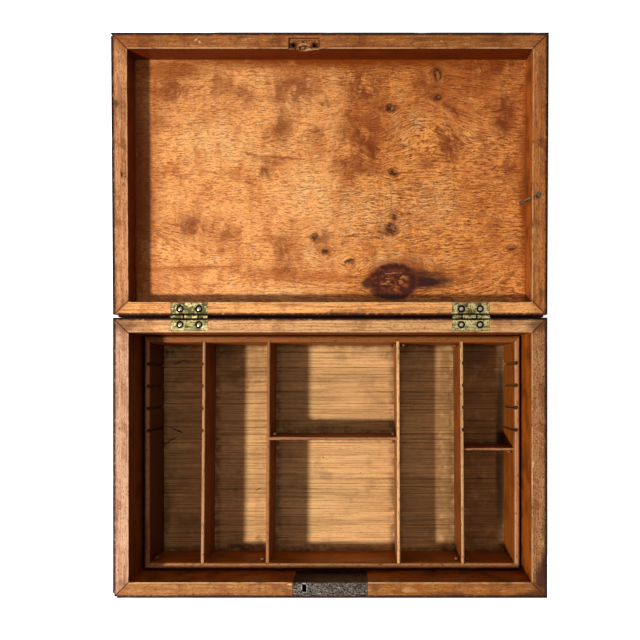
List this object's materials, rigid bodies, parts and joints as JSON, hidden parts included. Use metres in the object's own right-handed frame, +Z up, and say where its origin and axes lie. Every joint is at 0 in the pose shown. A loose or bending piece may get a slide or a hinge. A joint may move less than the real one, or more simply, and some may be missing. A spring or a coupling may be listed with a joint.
{
  "type": "document box",
  "caption": "Rectangular wooden box with a hinged lid, a lift-out divided tray and a box lock let into the front wall, standing open.",
  "frame": {"origin": "centre of the underside of the base's bottom board", "axes": "+X along the box to the right, +Y from the front to the back, where the open lid lies, +Z up"},
  "size_m": [0.44, 0.5703, 0.134],
  "materials": {
    "rim_wood": "worn wax",
    "dark_veneer": "polish",
    "lid_panel_wood": "wax",
    "pine": "bare",
    "tray_pine": "bare",
    "tray_wood": "wax",
    "old_brass": "tarnished",
    "screw_steel": "worn",
    "nail_iron": "dull",
    "lock_iron": "pitted"
  },
  "bodies": {
    "base": {"base_bottom": "pine", "base_bottom_nails": "nail_iron", "base_hinge_leaf_left": "old_brass", "base_hinge_leaf_right": "old_brass", "base_hinge_screws": "screw_steel", "base_veneer_back": "dark_veneer", "base_veneer_front": "dark_veneer", "base_veneer_left": "dark_veneer", "base_veneer_right": "dark_veneer", "base_wall_back": "rim_wood", "base_wall_front": "rim_wood", "base_wall_left": "rim_wood", "base_wall_right": "rim_wood", "hinge_pin_left": "old_brass", "hinge_pin_right": "old_brass", "keyhole_escutcheon": "old_brass", "lock_case": "lock_iron", "lock_key_pin": "lock_iron", "lock_plate": "lock_iron", "lock_screws": "lock_iron", "lock_spring": "lock_iron", "lock_studs": "lock_iron", "lock_ward": "lock_iron", "tray_bearer_left": "pine", "tray_bearer_right": "pine"},
    "lid": {"lid_board": "lid_panel_wood", "lid_hinge_leaf_left": "old_brass", "lid_hinge_leaf_right": "old_brass", "lid_hinge_screws": "screw_steel", "lid_stay_nail": "nail_iron", "lid_veneer_back": "dark_veneer", "lid_veneer_front": "dark_veneer", "lid_veneer_left": "dark_veneer", "lid_veneer_right": "dark_veneer", "lid_veneer_top": "dark_veneer", "lid_wall_back": "rim_wood", "lid_wall_front": "rim_wood", "lid_wall_left": "rim_wood", "lid_wall_right": "rim_wood"},
    "tray": {"tray_cross_centre": "tray_wood", "tray_cross_right": "tray_wood", "tray_divider_1": "tray_wood", "tray_divider_2": "tray_wood", "tray_divider_3": "tray_wood", "tray_divider_4": "tray_wood", "tray_floor": "tray_pine", "tray_pins": "nail_iron", "tray_wall_back": "tray_wood", "tray_wall_front": "tray_wood", "tray_wall_left": "tray_wood", "tray_wall_right": "tray_wood"},
    "bolt": {"lock_bolt": "lock_iron"}
  },
  "joints": [
    {"name": "lid_hinge", "type": "hinge", "parent": "base", "child": "lid", "pos_m": [0, 0.1429, 0.12915], "axis": [1, 0, 0], "range_deg": [0, 179]},
    {"name": "tray_lift", "type": "slide", "parent": "base", "child": "tray", "axis": [0, 0, 1], "range_m": [0, 0.038]},
    {"name": "bolt_slide", "type": "slide", "parent": "base", "child": "bolt", "axis": [-1, 0, 0], "range_m": [0, 0.0065]}
  ]
}
